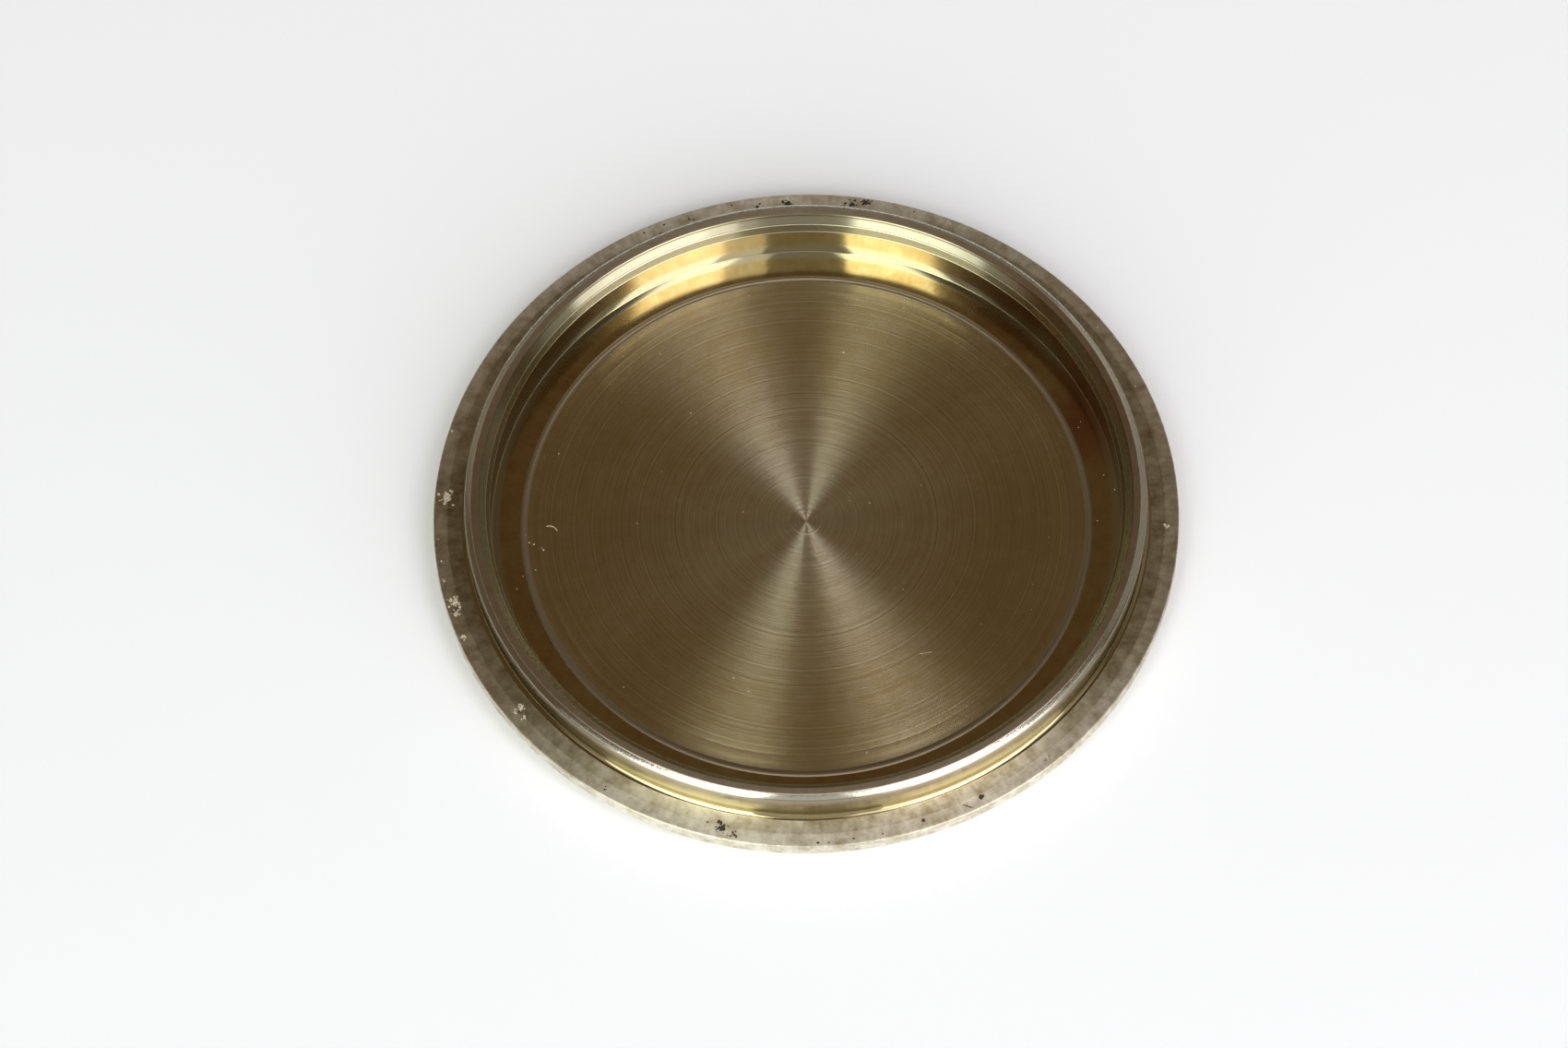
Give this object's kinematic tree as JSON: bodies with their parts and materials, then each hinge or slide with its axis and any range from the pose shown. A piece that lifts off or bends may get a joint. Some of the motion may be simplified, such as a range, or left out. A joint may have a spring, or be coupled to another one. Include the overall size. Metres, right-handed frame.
{
  "type": "floor drain cover",
  "caption": "Plain round floor drain cover, turned from one piece: a flanged disc with a spigot ring around a shallow recess, shown with its show face down.",
  "frame": {"origin": "centre of the plain show face, which is the lowest face of the part as it lies", "axes": "+Z along the turning axis, from the show face towards the spigot ring's rim; X and Y are free because the part is round"},
  "size_m": [0.1, 0.1, 0.0099],
  "materials": {
    "nickel_bronze": "turned satin metal, aged yellowish grey, with brown tarnish and small casting pits"
  },
  "bodies": {
    "root": {"cover": "nickel_bronze"}
  },
  "joints": []
}
